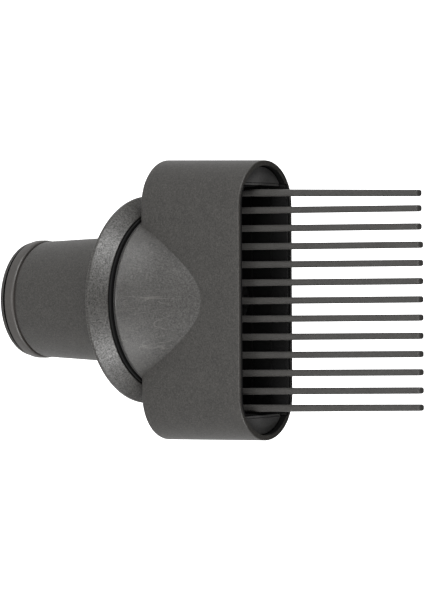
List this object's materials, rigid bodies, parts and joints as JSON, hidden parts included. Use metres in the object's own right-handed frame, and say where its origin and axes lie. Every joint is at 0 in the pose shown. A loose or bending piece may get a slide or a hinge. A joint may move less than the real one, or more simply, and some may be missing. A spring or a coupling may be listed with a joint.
{
  "type": "hair dryer comb attachment",
  "caption": "Wide-tooth comb nozzle for a ring-headed hair dryer: a tapered spigot, a conical flange and a long round-ended head that turns, with a row of straight teeth.",
  "frame": {"origin": "centre of the spigot's rear end, on the axis, at the bottom of the part as it stands on that end", "axes": "+Z along the spigot's axis towards the tips of the teeth; +X along the row of teeth; +Y across the mouth"},
  "size_m": [0.105, 0.078, 0.181],
  "materials": {
    "body_grey": "satin iron grey, fine moulded grain with small metallic flakes",
    "tooth_grey": "satin, slightly smoother than the body",
    "panel_grey": "matte",
    "band_grey": "satin, warm grey",
    "inner_black": "matte black",
    "bush_black": "smooth black, low friction",
    "seal_rubber": "matte black",
    "steel": "bright",
    "magnet": "nickel plated"
  },
  "bodies": {
    "collar": {"end_ring": "body_grey", "spigot_seal": "seal_rubber", "guide_band": "band_grey", "spigot_tube": "body_grey", "flange_ring": "body_grey", "back_plate": "inner_black", "magnet_1": "magnet", "magnet_2": "magnet", "magnet_3": "magnet", "magnet_4": "magnet", "magnet_5": "magnet", "magnet_6": "magnet", "magnet_7": "magnet", "magnet_8": "magnet", "keeper_ring": "steel", "inlet_spider": "inner_black", "neck_tube": "inner_black", "retaining_ring": "steel"},
    "head": {"swivel_bush": "bush_black", "outer_shell": "body_grey", "rear_cover": "body_grey", "air_duct": "inner_black", "end_panel_left": "panel_grey", "end_panel_right": "panel_grey", "comb_spine": "inner_black", "spine_screw_left": "steel", "spine_screw_right": "steel", "tooth_01": "tooth_grey", "tooth_02": "tooth_grey", "tooth_03": "tooth_grey", "tooth_04": "tooth_grey", "tooth_05": "tooth_grey", "tooth_06": "tooth_grey", "tooth_07": "tooth_grey", "tooth_08": "tooth_grey", "tooth_09": "tooth_grey", "tooth_10": "tooth_grey", "tooth_11": "tooth_grey", "tooth_12": "tooth_grey", "tooth_13": "tooth_grey"}
  },
  "joints": [
    {"name": "head_swivel", "type": "hinge", "parent": "collar", "child": "head", "pos_m": [0, 0, 0.063], "axis": [0, 0, 1], "continuous": true}
  ]
}
